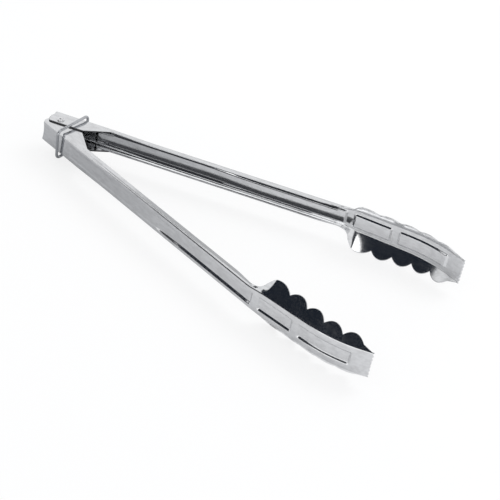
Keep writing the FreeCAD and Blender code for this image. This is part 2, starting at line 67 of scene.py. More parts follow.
# The stamping.
METAL = 1.0                 # sheet thickness
WEB = 9.7                   # rivet axis to the outer face of the web
OPEN_ANGLE = 14.4           # each arm's angle from the centre plane at rest, degrees
ARM_LENGTH = 301.5          # rivet axis to tip, along the web
HEAD_REACH = 7.0            # rivet axis back to the end of the web
EAR_RADIUS = 8.2
EAR_REACH = 4.5             # how far an ear crosses the centre plane
EAR_LENGTH = 19.0
EAR_END = 37.0
LOW_EAR = 8.0               # outer face of the nested ear, from the middle
HIGH_EAR = 9.1              # outer face of the outer ear, from the middle
ARM_HALF = 8.2              # half the channel's height
FLANGE = 4.8                # depth of the flanges
THROAT = 3.4                # depth of the flange just before the jaw
FOLD_RADIUS = 1.6
HEAD_FOLD_RADIUS = 2.4
HEAD_BLEND = (30.0, 70.0)   # where the head's section becomes the channel's
JAW = 215.3                 # rivet axis to the jaw's start
JAW_HALF = (8.1, 9.1)       # half the width of the jaw's back at its start and at its tip
WIDENS = (JAW - 22, JAW + 4)                            # where the back widens towards the jaw
BENDS = ((JAW - 7.3, 5.9, 30.0), (JAW + 59.4, 24.0, 85.5))   # each bend's middle, degrees and radius
FLARE = 48.0                # angle of the jaw's wings, degrees from straight inward
PINCH = 4.0                 # how far the channel's flanges lean towards each other, degrees
FLARE_BLEND = (JAW - 11, JAW + 7)                   # where the flanges open out into the wings
LIP = JAW - 5               # where the throat is narrowest
THROAT_RUN = 20.0           # length over which the flange narrows to it
SCALLOP_PITCH = 14.65
SCALLOP_HEIGHT = 4.4
FIRST_VALLEY = JAW + 19.8
WING_LENGTHS = (9.4, 4.2)   # wing length at the first and at the last valley
SCALLOPS = 4                # whole scallops after the first one
FIRST_CREST = (JAW + FIRST_VALLEY) / 2 - 0.6            # place of the first scallop's crest
FIRST_CLIMB = ((JAW - 0.6, 0.36), (JAW + 1.6, 0.6))     # places before it, and their shares of its height
TIP_WING = (ARM_LENGTH - 1.5, 1.2)                      # place and length of the wing beside the tip
GROOVE_FLOOR = 3.8          # half the width of a groove's floor
GROOVE_EDGE = 5.1           # half the width of a groove at the surface
GROOVE_SOFT = 0.2           # rounding of a groove's bends
RIB_GROWTH = 0.4            # how much wider a groove's back is than the groove, on each side
RIB_BLEND = (1.8, 3.3)      # where that starts and is complete, from the groove's middle
BRIDGE_HALF = 2.3           # half the length of the flat bridge between two grooves
BRIDGES = (JAW - 1.2, JAW + 31.9)
GROOVES = (
    (24.0, BRIDGES[0] - BRIDGE_HALF),
    (BRIDGES[0] + BRIDGE_HALF, BRIDGES[1] - BRIDGE_HALF),
    (BRIDGES[1] + BRIDGE_HALF, JAW + 73.0),
)
GROOVE_RUN = 1.6            # length of the slope at a groove's end
LONG_GROOVE = (0.25, 1.5)   # depth of the first groove near the head and near the jaw
DEEPENS = (104.0, 152.0)    # where the one becomes the other
JAW_GROOVE = 1.15           # depth of the other two
TOOTH_PITCH = 2.8
TOOTH_DEPTH = 1.0
TOOTH_PULL = 2.6            # the teeth reshape the sheet back to this far from the tip
HEAD_PULL = 10.0            # and the ears' rounded ends reshape it from the head to this place
HEAD_WAIST = 1.2            # how far the end of the web curves in between the ears
EDGE_ROUND = 0.3            # rounding of the sheet's cut edges
EAR_ABOVE = 6.7             # the ears' edges lie further than this from the middle
POLISHED_EDGE = 0.4         # the other edges' share of a sheared edge's roughness
HOLE_RADIUS = 2.05

# The pivot, the spring and the ring.
SHANK = 2.0
DOME = (2.9, 1.5)           # radius and height of the rivet's domed head
WASHER = (3.6, 0.8)
CLENCH = (2.8, 1.0)
SLEEVE = (3.1, 6.95)        # outer radius and half its length
WIRE = 1.3
COIL_RADIUS = 4.1
COIL_HALF = 4.6
LEG_LENGTH = 38.0
LEG_SPREAD = 5.4            # the legs' angle outward of the webs, degrees
COIL_TURNS = 5.0
RING_WIRE = 2.0
RING_PLACE = 11.2
RING_HALF = (15.1, 11.2)    # half the width and half the height, at the wire's middle
RING_CORNER = 3.2
RING_LEAN = 3.0
RING_SWING = 5.0

DEG = math.pi / 180


# ---- camera

CAMERA_AZIMUTH = 26.05 * DEG
CAMERA_ELEVATION = 36.35 * DEG
CAMERA_ROLL = 11.53 * DEG
CAMERA_DISTANCE = 0.9649
CAMERA_LENS = 106.4
AIM_OFFSET = Vector((0.17437, -0.01946, 0.0))


def add_camera():
    """A long lens above and in front of the near arm, rolled a little."""
    flat = math.cos(CAMERA_ELEVATION)
    level = Vector((math.cos(CAMERA_AZIMUTH), math.sin(CAMERA_AZIMUTH), 0))
    back = Vector((level.y * flat, -level.x * flat, math.sin(CAMERA_ELEVATION)))
    upright = back.cross(level)
    right = level * math.cos(CAMERA_ROLL) + upright * math.sin(CAMERA_ROLL)
    up = upright * math.cos(CAMERA_ROLL) - level * math.sin(CAMERA_ROLL)
    data = bpy.data.cameras.new("camera")
    data.lens = CAMERA_LENS
    data.clip_start = 0.01
    camera = bpy.data.objects.new("camera", data)
    turn = Matrix((right, up, back)).transposed().to_4x4()
    camera.matrix_world = Matrix.Translation(PIVOT + AIM_OFFSET + back * CAMERA_DISTANCE) @ turn
    bpy.context.scene.collection.objects.link(camera)
    bpy.context.scene.camera = camera


# ---- node helpers

def add_node(tree, kind, inputs=(), **settings):
    """A new node. An input given as a socket is linked, and as a number is set."""
    made = tree.nodes.new(kind)
    for name, value in settings.items():
        setattr(made, name, value)
    for key, value in dict(inputs).items():
        if isinstance(value, bpy.types.NodeSocket):
            tree.links.new(value, made.inputs[key])
        else:
            made.inputs[key].default_value = value
    return made


def math_node(tree, operation, one, two=0.0, clamp=False):
    return add_node(tree, "ShaderNodeMath", {0: one, 1: two}, operation=operation, use_clamp=clamp).outputs[0]


def ramp_node(tree, value, low, high, to_low=0.0, to_high=1.0):
    """Smooth step of value, from to_low at low to to_high at high."""
    inputs = {"Value": value, "From Min": low, "From Max": high, "To Min": to_low, "To Max": to_high}
    return add_node(tree, "ShaderNodeMapRange", inputs, interpolation_type="SMOOTHSTEP").outputs[0]


def stretched_noise(tree, coordinates, scale, detail=3.0, roughness=0.6):
    """Noise with its own scale along each axis, in features per metre."""
    mapped = add_node(tree, "ShaderNodeMapping", {"Vector": coordinates, "Scale": scale})
    inputs = {"Vector": mapped.outputs[0], "Scale": 1.0, "Detail": detail, "Roughness": roughness}
    return add_node(tree, "ShaderNodeTexNoise", inputs).outputs["Fac"]


# ---- materials

SHEARED_AND_SHADED = (0.10, 0.10, 0.105, 1.0)     # the ears' sheared edges, painted nearly black as painted shade of the slit between the ears
CLOUDS = (150.0, 420.0, 420.0)         # the satin mottling's scale along each axis, in features per metre
SPECKS = (2600.0, 2600.0, 2600.0)      # and the finest roughness's


def steel(name, colour, rough, grain, smudge, edge_rough=0.0, depth=0.00001):
    """Bare steel. grain is the brushing's scale along each axis, in lines per metre.

    smudge darkens its clouds, and edge_rough roughens the edges that are marked as cut; where it is set, the
    edges with the whole mark are also painted nearly black, painted shade of the slit between the ears.
    """
    material = bpy.data.materials.new(name)
    material.use_nodes = True
    tree = material.node_tree
    shader = tree.nodes["Principled BSDF"]
    shader.inputs["Metallic"].default_value = 1.0
    place = add_node(tree, "ShaderNodeAttribute", attribute_name="drawn_place").outputs["Vector"]
    lines = stretched_noise(tree, place, grain, detail=4.0)
    cloud = stretched_noise(tree, place, CLOUDS, detail=5.0)
    specks = stretched_noise(tree, place, SPECKS, detail=2.0)
    tint = add_node(tree, "ShaderNodeMix", {"Factor": ramp_node(tree, cloud, 0.35, 0.7)}, data_type="RGBA")
    tint.inputs["A"].default_value = (*colour, 1.0)
    tint.inputs["B"].default_value = (*(channel * (1 - smudge) for channel in colour), 1.0)
    coat = tint.outputs["Result"]
    drawn = ramp_node(tree, lines, 0.3, 0.75, rough * 0.82, rough * 1.2)
    misty = math_node(tree, "ADD", drawn, ramp_node(tree, cloud, 0.45, 0.8, 0.0, rough * 0.35))
    if edge_rough:
        cut = add_node(tree, "ShaderNodeAttribute", attribute_name="cut_edge").outputs["Fac"]
        misty = math_node(tree, "ADD", misty, math_node(tree, "MULTIPLY", cut, edge_rough))
        # Painted shade: the ears' cut edges turn nearly black for the slit between the ears, on top of their
        # real roughness.
        painted_shade = ramp_node(tree, cut, 0.5, 1.0)
        sheared_and_shaded = add_node(tree, "ShaderNodeMix", {"Factor": painted_shade}, data_type="RGBA")
        tree.links.new(coat, sheared_and_shaded.inputs["A"])
        sheared_and_shaded.inputs["B"].default_value = SHEARED_AND_SHADED
        coat = sheared_and_shaded.outputs["Result"]
    tree.links.new(coat, shader.inputs["Base Color"])
    tree.links.new(misty, shader.inputs["Roughness"])
    height = math_node(tree, "ADD", lines, math_node(tree, "MULTIPLY", specks, 0.25))
    bump = add_node(tree, "ShaderNodeBump", {"Height": height, "Strength": 1.0, "Distance": depth})
    tree.links.new(bump.outputs["Normal"], shader.inputs["Normal"])
    return material


def make_materials():
    return {
        "arm": steel(
            "stamped_steel",
            (0.79, 0.795, 0.805),
            rough=0.115,
            grain=(18.0, 1500.0, 1500.0),
            smudge=0.14,
            edge_rough=0.12,
            depth=0.000005,
        ),
        "rivet": steel("rivet_steel", (0.80, 0.80, 0.81), 0.14, (1400.0, 1400.0, 300.0), 0.05),
        "spring": steel("spring_wire", (0.52, 0.53, 0.55), 0.24, (900.0, 900.0, 900.0), 0.12),
        "ring": steel("ring_wire", (0.50, 0.51, 0.53), 0.10, (700.0, 250.0, 250.0), 0.05),
    }


# ---- meshes

SHARP = 38 * DEG            # corners of at least this angle stay sharp


def make_object(name, points, faces, material, matrix, marks=None):
    """A smooth object from points and faces in millimetres, with its corners kept sharp.

    Each vertex keeps its place before the turn to the frame, in metres, which the steel's grain follows.
    """
    mesh = bpy.data.meshes.new(name)
    local = [Vector(point) * MM for point in points]
    mesh.from_pydata([matrix @ point for point in local], [], faces)
    drawn = mesh.attributes.new("drawn_place", "FLOAT_VECTOR", "POINT")
    drawn.data.foreach_set("vector", [number for point in local for number in point])
    if marks:
        cut = mesh.attributes.new("cut_edge", "FLOAT", "POINT")
        cut.data.foreach_set("value", marks)
    shape = bmesh.new()
    shape.from_mesh(mesh)
    loose = [vertex for vertex in shape.verts if not vertex.link_faces]
    bmesh.ops.delete(shape, geom=loose, context="VERTS")
    bmesh.ops.recalc_face_normals(shape, faces=shape.faces)
    for face in shape.faces:
        face.smooth = True
    for edge in shape.edges:
        edge.smooth = edge.calc_face_angle(0.0) < SHARP
    shape.to_mesh(mesh)
    shape.free()
    mesh.materials.append(material)
    made = bpy.data.objects.new(name, mesh)
    bpy.context.scene.collection.objects.link(made)
    return made


def lathe(outline, sides=72):
    """Points and faces of a closed outline of (radius, height) turned about the vertical axis."""
    points, faces = [], []
    count = len(outline)
    for side in range(sides):
        angle = side / sides * 2 * math.pi
        points += [(radius * math.cos(angle), radius * math.sin(angle), height) for radius, height in outline]
    for side in range(sides):
        one, two = side * count, (side + 1) % sides * count
        for index in range(count):
            after = (index + 1) % count
            faces.append((one + index, one + after, two + after, two + index))
    return points, faces


def rounded(corners, radius, steps=4):
    """A closed outline with each corner replaced by a small arc."""
    outline = []
    count = len(corners)
    for index in range(count):
        before, corner, after = (Vector(corners[(index + step) % count]) for step in (-1, 0, 1))
        one, two = (before - corner).normalized(), (after - corner).normalized()
        half = one.angle(two) / 2
        reach = radius / math.tan(half)
        middle = corner + (one + two).normalized() * (radius / math.sin(half))
        start, end = corner + one * reach - middle, corner + two * reach - middle
        turn = start.angle_signed(end)
        for step in range(steps + 1):
            outline.append(tuple(middle + Matrix.Rotation(-turn * step / steps, 2) @ start))
    return outline


def tube(path, radius, sides=24, closed=False):
    """Points and faces of a round wire along a path, with rounded ends where it is open."""
    points, faces = [], []
    path = [Vector(point) for point in path]
    count = len(path)
    rings = [(index, 1.0, 0.0) for index in range(count)]
    if not closed:
        lead = [(0, 0.35, -0.3), (0, 0.75, -0.22), (0, 0.95, -0.08)]
        trail = [(count - 1, share, -step) for _, share, step in reversed(lead)]
        rings = lead + rings + trail
    side_way = None
    for index, share, step in rings:
        before = path[index - 1] if closed or index else path[0]
        after = path[(index + 1) % count] if closed or index < count - 1 else path[-1]
        ahead = (after - before).normalized()
        if side_way is None:
            side_way = ahead.orthogonal().normalized()
        side_way = (side_way - ahead * side_way.dot(ahead)).normalized()
        other = ahead.cross(side_way)
        middle = path[index] + ahead * step * radius
        for side in range(sides):
            angle = side / sides * 2 * math.pi
            points.append(middle + (side_way * math.cos(angle) + other * math.sin(angle)) * radius * share)
    total = len(rings)
    for index in range(total if closed else total - 1):
        one, two = index * sides, (index + 1) % total * sides
        for side in range(sides):
            after = (side + 1) % sides
            faces.append((one + side, one + after, two + after, two + side))
    if not closed:
        faces.append(tuple(range(sides)))
        faces.append(tuple((total - 1) * sides + side for side in range(sides)))
    return points, faces


# ---- the stamping's form

def blend(value, start, end):
    share = min(max((value - start) / (end - start), 0.0), 1.0)
    return share * share * (3 - 2 * share)


def mix(one, two, share):
    return one + (two - one) * share


def back_at(along):
    """Point on the outer face of the back and its heading, seen from above."""
    x, y, heading, place = 0.0, WEB, 0.0, 0.0
    for middle, degrees, radius in BENDS:
        turn = degrees * DEG
        start = middle - radius * turn / 2
        if along <= start:
            break
        x += (start - place) * math.cos(heading)
        y -= (start - place) * math.sin(heading)
        part = min((along - start) / radius, turn)
        x += radius * (math.sin(heading + part) - math.sin(heading))
        y -= radius * (math.cos(heading) - math.cos(heading + part))
        heading += part
        place = start + radius * part
    return x + (along - place) * math.cos(heading), y - (along - place) * math.sin(heading), heading


def halves(along):
    """Heights of the upper and the lower fold from the middle."""
    ramp = blend(along, *HEAD_BLEND)
    widen = blend(along, *WIDENS)
    jaw = mix(*JAW_HALF, min(max((along - JAW) / (ARM_LENGTH - JAW), 0.0), 1.0))
    upper, lower = mix(HIGH_EAR, ARM_HALF, ramp), mix(LOW_EAR, ARM_HALF, ramp)
    return upper + (jaw - ARM_HALF) * widen, lower + (jaw - ARM_HALF) * widen


def flare_at(along):
    lean = -PINCH * blend(along, *HEAD_BLEND)
    return mix(lean, FLARE, blend(along, *FLARE_BLEND)) * DEG


def arc_height(place, one, middle, two):
    """Height of the circle through three points, at a place between the first and the last."""
    (x1, y1), (x2, y2), (x3, y3) = one, middle, two
    twice = 2 * (x1 * (y2 - y3) + x2 * (y3 - y1) + x3 * (y1 - y2))
    s1, s2, s3 = x1 * x1 + y1 * y1, x2 * x2 + y2 * y2, x3 * x3 + y3 * y3
    cx = (s1 * (y2 - y3) + s2 * (y3 - y1) + s3 * (y1 - y2)) / twice
    cy = (s1 * (x3 - x2) + s2 * (x1 - x3) + s3 * (x2 - x1)) / twice
    side = math.copysign(1.0, y2 - cy)
    reach = (x1 - cx) ** 2 + (y1 - cy) ** 2 - (place - cx) ** 2
    return cy + side * math.sqrt(max(reach, 0.0))


def valley(index):
    share = index / SCALLOPS
    return FIRST_VALLEY + index * SCALLOP_PITCH, mix(*WING_LENGTHS, share)


def in_plan(along, length):
    return along, length * math.cos(flare_at(along))


def edge_depth(along):
    """How far inward of the back's outer face the free edge lies, seen from above."""
    ear = WEB + EAR_REACH
    crest = WING_LENGTHS[0] + SCALLOP_HEIGHT
    lip = (LIP, THROAT)
    start, rise = (in_plan(place, share * crest) for place, share in FIRST_CLIMB)
    if along <= EAR_LENGTH:
        return ear
    if along <= EAR_END:
        return mix(ear, FLANGE, (along - EAR_LENGTH) / (EAR_END - EAR_LENGTH))
    if along <= lip[0]:
        return mix(FLANGE, THROAT, blend(along, LIP - THROAT_RUN, LIP))
    if along <= rise[0]:
        return arc_height(along, lip, start, rise)
    if along <= FIRST_VALLEY:
        return arc_height(along, rise, in_plan(FIRST_CREST, crest), in_plan(*valley(0)))
    index = int((along - FIRST_VALLEY) / SCALLOP_PITCH)
    if index < SCALLOPS:
        one, two = valley(index), valley(index + 1)
        peak = ((one[0] + two[0]) / 2, (one[1] + two[1]) / 2 + SCALLOP_HEIGHT)
        return arc_height(along, in_plan(*one), in_plan(*peak), in_plan(*two))
    last = in_plan(*valley(SCALLOPS))
    tip = in_plan(*TIP_WING)
    share = (along - last[0]) / (tip[0] - last[0])
    return mix(last[1], tip[1], min(share, 1.1))


def ease(place, run):
    """0 before a straight slope and 1 past it, with both bends a little rounded."""
    def climb(at):
        share = at / run
        return 0.0 if share < 0 else share * share / 2 if share < 1 else share - 0.5
    return (climb(place + GROOVE_SOFT) - climb(place - GROOVE_SOFT)) * run / (2 * GROOVE_SOFT)


def groove_at(along):
    for start, end in GROOVES:
        if start < along < end:
            depth = JAW_GROOVE if start > JAW else mix(*LONG_GROOVE, blend(along, *DEEPENS))
            return depth * ease(min(along - start, end - along), GROOVE_RUN)
    return 0.0


# A section's points: from the web's middle across the groove, closest at its two bends, on to the fold, round
# the fold, along the wing and round the cut edge's two corners.
GROOVE_PLACES = (0.0, 0.9, 1.8, 2.7, 3.3, 3.6, 3.7, 3.8, 3.9, 4.0, 4.25, 4.6, 4.9, 5.0, 5.1, 5.2, 5.3)
OUTER_STEPS = 6
FOLD_STEPS = 9
WING_STEPS = 15
CUT_TURNS = (30, 60, 90)    # degrees round a corner of the cut edge
CUT_POINTS = 2 * len(CUT_TURNS)


def half_profile(along, half):
    """One half of the sheet's outer line, from the middle of the web to the free edge.

    Each entry is (inward, up, normal inward, normal up), and the last sits where the edge's rounding starts.
    """
    radius = mix(HEAD_FOLD_RADIUS, FOLD_RADIUS, blend(along, *HEAD_BLEND))
    turn = math.pi / 2 - flare_at(along)
    foot = half - radius * math.tan(turn / 2)
    depth = groove_at(along)
    line = []
    for up in GROOVE_PLACES:
        share = 1 - ease(up - GROOVE_FLOOR, GROOVE_EDGE - GROOVE_FLOOR)
        line.append((depth * share, up, 1.0, RIB_GROWTH * blend(up, *RIB_BLEND)))
    for step in range(1, OUTER_STEPS):
        share = step / OUTER_STEPS
        line.append((0.0, mix(GROOVE_PLACES[-1], foot, share), 1.0, RIB_GROWTH * (1 - share)))
    edge = edge_depth(along)
    full = radius * (1 - math.cos(turn))
    stop = turn if edge > full else math.acos(1 - edge / radius)
    for step in range(FOLD_STEPS + 1):
        angle = stop * step / FOLD_STEPS
        inward, up = radius * (1 - math.cos(angle)), foot + radius * math.sin(angle)
        line.append((inward, up, math.cos(angle), -math.sin(angle)))
    inward, up = line[-1][:2]
    reach = max((edge - full) / math.sin(turn), 2 * EDGE_ROUND)
    ahead = (math.sin(stop), math.cos(stop))
    steps = [(reach - EDGE_ROUND) * (step + 1) / WING_STEPS for step in range(WING_STEPS)]
    steps.insert(-1, steps[-1] - EDGE_ROUND / 3)
    for step in steps:
        line.append((inward + step * ahead[0], up + step * ahead[1], math.cos(stop), -math.sin(stop)))
    return line, ahead


def section(along, thin):
    """The sheet's outline at one place, (inward, up, cut edge) all round, and the count of its outer points.

    thin is the share of the thickness that is left, which rounds the two ends of the stamping.
    """
    upper, lower = halves(along)
    high, high_ahead = half_profile(along, upper)
    low, low_ahead = half_profile(along, lower)
    low = [(inward, -up, one, -two) for inward, up, one, two in low]
    low_ahead = (low_ahead[0], -low_ahead[1])
    across = list(reversed(low[1:])) + high

    def at(entry, deep):
        level = METAL / 2 + (deep - METAL / 2) * thin
        return entry[0] + level * entry[2], entry[1] + level * entry[3]

    def cut(entry, ahead):
        """The rounded cut edge, from the outer face to the inner one."""
        lane = []
        for base, sign in ((EDGE_ROUND, -1), (METAL - EDGE_ROUND, 1)):
            for degrees in CUT_TURNS if sign < 0 else reversed(CUT_TURNS):
                out = EDGE_ROUND * math.sin(degrees * DEG)
                inward, up = at(entry, base + sign * EDGE_ROUND * math.cos(degrees * DEG))
                lane.append((inward + out * ahead[0], up + out * ahead[1], 1.0))
        return lane

    outer = [(*at(entry, 0.0), 0.0) for entry in across]
    inner = [(*at(entry, METAL), 0.0) for entry in across]
    high_cut = cut(across[-1], high_ahead)
    low_cut = cut(across[0], low_ahead)
    return outer + high_cut + list(reversed(inner)) + list(reversed(low_cut)), len(across)


def steps_between(start, end, step):
    count = max(round((end - start) / step), 1)
    return [start + (end - start) * index / count for index in range(count + 1)]


# The stretches of the web before the scallops: the end of each, and the length of its steps.
STRETCHES = (
    (HEAD_PULL, 0.55),
    (EAR_LENGTH, 0.9),
    (EAR_END, 0.9),
    (HEAD_BLEND[1], 1.6),
    (JAW - 30, 5.0),
    (LIP, 0.8),
    (FIRST_VALLEY, 0.45),
)
CLOSEST = 0.06              # two stations are further apart than this


def stations():
    """Places along the web, with the share of the thickness that is left there."""
    head, tip = -HEAD_REACH, ARM_LENGTH
    marks = []
    start = head + EDGE_ROUND
    for end, step in STRETCHES:
        marks += steps_between(start, end, step)
        start = end
    for index in range(SCALLOPS):
        marks += steps_between(valley(index)[0], valley(index + 1)[0], 0.6)
    marks += steps_between(valley(SCALLOPS)[0], tip - EDGE_ROUND, 0.5)
    for start, end in GROOVES:
        marks += steps_between(start, start + GROOVE_RUN, 0.25)
        marks += steps_between(end - GROOVE_RUN, end, 0.25)
    kept = []
    for mark in sorted(marks):
        if not kept or mark - kept[-1] > CLOSEST:
            kept.append(mark)
    places = [(mark, 1.0) for mark in kept]
    for share in (0.0, 0.35, 0.7):
        lost = EDGE_ROUND * (1 - math.sin(math.acos(1 - share)))
        places.append((head + EDGE_ROUND * share, 1 - 2 * lost / METAL))
        places.append((tip - EDGE_ROUND * share, 1 - 2 * lost / METAL))
    return sorted(places)


def reshape(along, inward, up):
    """Moves a place along the web for the rounded ears and for the teeth across the tip."""
    if along < HEAD_PULL:
        y = WEB - inward
        corner = math.sqrt(EAR_RADIUS ** 2 - HEAD_REACH ** 2)
        waist = HEAD_WAIST * max(1 - (up / LOW_EAR) ** 2, 0.0)
        end = waist - HEAD_REACH if y >= corner else -math.sqrt(EAR_RADIUS ** 2 - y * y)
        share = (along + HEAD_REACH) / (HEAD_PULL + HEAD_REACH)
        return mix(end, HEAD_PULL, share)
    near_tip = (along - (ARM_LENGTH - TOOTH_PULL)) / TOOTH_PULL
    if near_tip <= 0:
        return along
    wave = 1 - abs(up - TOOTH_PITCH * round(up / TOOTH_PITCH)) / (TOOTH_PITCH / 2)
    return along - TOOTH_DEPTH * wave * near_tip


# Each side of a cell of the sheet: its two corners and the way to the next cell, all as (row, lane).
CELL_SIDES = (
    ((0, 0), (0, 1), (-1, 0)),
    ((1, 0), (1, 1), (1, 0)),
    ((0, 0), (1, 0), (0, -1)),
    ((0, 1), (1, 1), (0, 1)),
)


def cut_rivet_hole(points, rows, loop, lanes):
    """The cells that the rivet's hole takes out of both ears, and the faces of its wall.

    The points round the hole are moved onto its circle.
    """
    last_inner = lanes + CUT_POINTS + lanes - 1

    def vertex(row, lane, inner):
        return row * loop + (last_inner - lane if inner else lane)

    ears = (range(0, WING_STEPS), range(lanes - WING_STEPS - 1, lanes - 1))
    dropped = set()
    added = []
    moved = set()
    for ear in ears:
        cells = set()
        for row in range(rows - 1):
            for lane in ear:
                square = ((row, lane), (row + 1, lane), (row + 1, lane + 1), (row, lane + 1))
                corners = [points[vertex(*corner, False)] for corner in square]
                x = sum(corner[0] for corner in corners) / 4
                y = sum(corner[1] for corner in corners) / 4
                if math.hypot(x, y) < HOLE_RADIUS:
                    cells.add((row, lane))
        for row, lane in cells:
            dropped.add((row, lane, False))
            dropped.add((row, lane, True))
            for one, two, away in CELL_SIDES:
                if (row + away[0], lane + away[1]) in cells:
                    continue
                start, end = (row + one[0], lane + one[1]), (row + two[0], lane + two[1])
                wall = [vertex(*start, False), vertex(*end, False), vertex(*end, True), vertex(*start, True)]
                added.append(wall)
                moved.update(wall)
    for index in moved:
        x, y, z = points[index]
        stretch = HOLE_RADIUS / math.hypot(x, y)
        points[index] = (x * stretch, y * stretch, z)
    return dropped, added


def stamping():
    """Points, faces and cut-edge marks of one arm, in its own place with the rivet at the origin."""
    points, marks, faces = [], [], []
    places = stations()
    for along, thin in places:
        outline, lanes = section(along, thin)
        for inward, up, cut in outline:
            x, y, heading = back_at(reshape(along, inward, up))
            points.append((x - inward * math.sin(heading), y - inward * math.cos(heading), up))
            edge = max(cut, 1.0 if thin < 1 else 0.0)
            # The ears' cut edges get the whole mark, which also paints them nearly black as painted shade of
            # the slit between the ears; the other cut edges get a share that only roughens them.
            marks.append(edge if along < EAR_END and abs(up) > EAR_ABOVE else edge * POLISHED_EDGE)
    loop = len(outline)
    rows = len(places)
    dropped, added = cut_rivet_hole(points, rows, loop, lanes)
    inner_start = lanes + CUT_POINTS
    inner_end = inner_start + lanes - 1
    for row in range(rows - 1):
        for index in range(loop):
            if index < lanes - 1 and (row, index, False) in dropped:
                continue
            if inner_start <= index < inner_end and (row, inner_end - index - 1, True) in dropped:
                continue
            one, two = row * loop + index, row * loop + (index + 1) % loop
            faces.append((one, two, two + loop, one + loop))
    faces += added
    for row in (0, rows - 1):
        base = row * loop
        for lane in range(lanes - 1):
            faces.append((base + lane, base + lane + 1, base + inner_end - lane - 1, base + inner_end - lane))
        for corner in (lanes - 1, inner_end):
            faces.append(tuple(base + (corner + index) % loop for index in range(CUT_POINTS + 2)))
    return points, faces, marks


def add_arm(name, node, turned_over, form, material):
    angle = -OPEN_ANGLE if turned_over else OPEN_ANGLE
    turn = Matrix.Rotation(angle * DEG, 4, "Z")
    if turned_over:
        turn = turn @ Matrix.Rotation(math.pi, 4, "X")
    points, faces, marks = form
    arm = make_object(name, points, faces, material, Matrix.Translation(PIVOT) @ turn, marks)
    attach(arm, node)
    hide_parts(node)


# ---- the pivot, the spring and the ring

def add_turned(name, node, outline, material):
    points, faces = lathe(outline)
    piece = make_object(name, points, faces, material, Matrix.Translation(PIVOT))
    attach(piece, "pivot")
    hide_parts(node)


AXIS_HOLE = 0.02            # an outline that closes on the axis stops this far from it
DOME_RIM = 0.35             # height of the dome's upright rim
DOME_SOFT = 0.12            # and the chamfer under it
CLENCH_SOFT = 0.1           # the chamfer of the clenched end
CLENCH_ROUND = 0.55         # and its rounding
DIMPLE = ((1.3, 0.0), (1.0, 0.12), (0.6, 0.4), (AXIS_HOLE, 0.5))    # the punch's mark in it: radius and depth


def add_pivot(materials):
    """The rivet with its head on top, the washer above its clenched end, and the sleeve between the ears."""
    top, foot = HIGH_EAR, -HIGH_EAR - WASHER[1]
    dome = [(AXIS_HOLE, top + DOME[1])]
    for step in range(1, 13):
        angle = step / 12 * math.pi / 2
        dome.append((DOME[0] * math.sin(angle), top + DOME_RIM + (DOME[1] - DOME_RIM) * math.cos(angle)))
    dome += [(DOME[0], top + DOME_SOFT), (DOME[0] - DOME_SOFT, top), (SHANK, top)]
    tail = [(SHANK, foot), (CLENCH[0] - CLENCH_SOFT, foot), (CLENCH[0], foot - CLENCH_SOFT)]
    end = foot - CLENCH[1]
    for step in range(7):
        angle = step / 6 * math.pi / 2
        height = end + CLENCH_ROUND * (1 - math.sin(angle))
        tail.append((CLENCH[0] - CLENCH_ROUND * (1 - math.cos(angle)), height))
    tail += [(radius, end + depth) for radius, depth in DIMPLE]
    add_turned("rivet", "pivot_rivet", dome + tail, materials["rivet"])
    flat = [(SHANK, foot), (WASHER[0], foot), (WASHER[0], -HIGH_EAR), (SHANK, -HIGH_EAR)]
    add_turned("washer", "rivet_washer", rounded(flat, 0.15), materials["rivet"])
    long = SLEEVE[1]
    wall = [(SHANK, -long), (SLEEVE[0], -long), (SLEEVE[0], long), (SHANK, long)]
    add_turned("sleeve", "spring_sleeve", rounded(wall, 0.2), materials["rivet"])


LEG_SHARE = 0.995           # the legs are this much thinner than the coil, so that no two faces coincide
TUCK = 24 * DEG             # how much of the coil's last turn each leg repeats before it runs straight


def on_coil(angle, height):
    return Vector((COIL_RADIUS * math.cos(angle), COIL_RADIUS * math.sin(angle), height))


def add_spring(material):
    """A coil that stays on the pivot and two legs that follow the arms."""
    lean = (OPEN_ANGLE + LEG_SPREAD) * DEG
    start = 1.5 * math.pi - lean
    sweep = 2 * math.pi * (COIL_TURNS + 0.5) - 2 * lean
    steps = 260
    path = []
    for step in range(steps + 1):
        share = step / steps
        path.append(on_coil(start - sweep * share, mix(-COIL_HALF, COIL_HALF, share)))
    points, faces = tube(path, WIRE / 2, sides=20)
    pieces = [(make_object("spring_coil", points, faces, material, Matrix.Translation(PIVOT)), "pivot")]
    for name, body, side in (("spring_leg_far", "far_arm", 1), ("spring_leg_near", "near_arm", -1)):
        height = side * COIL_HALF
        angle = side * (math.pi / 2 + lean)
        curl = [on_coil(angle + side * TUCK * (1 - step / 8), height) for step in range(9)]
        ahead = Vector((math.cos(side * lean), math.sin(side * lean), 0))
        straight = [curl[-1] + ahead * LEG_LENGTH * step / 12 for step in range(1, 13)]
        points, faces = tube(curl + straight, WIRE / 2 * LEG_SHARE, sides=20)
        pieces.append((make_object(name, points, faces, material, Matrix.Translation(PIVOT)), body))
    for piece, body in pieces:
        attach(piece, body)
        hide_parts("torsion_spring")


RING_GAP = 0.12             # half the gap of the ring's butt joint


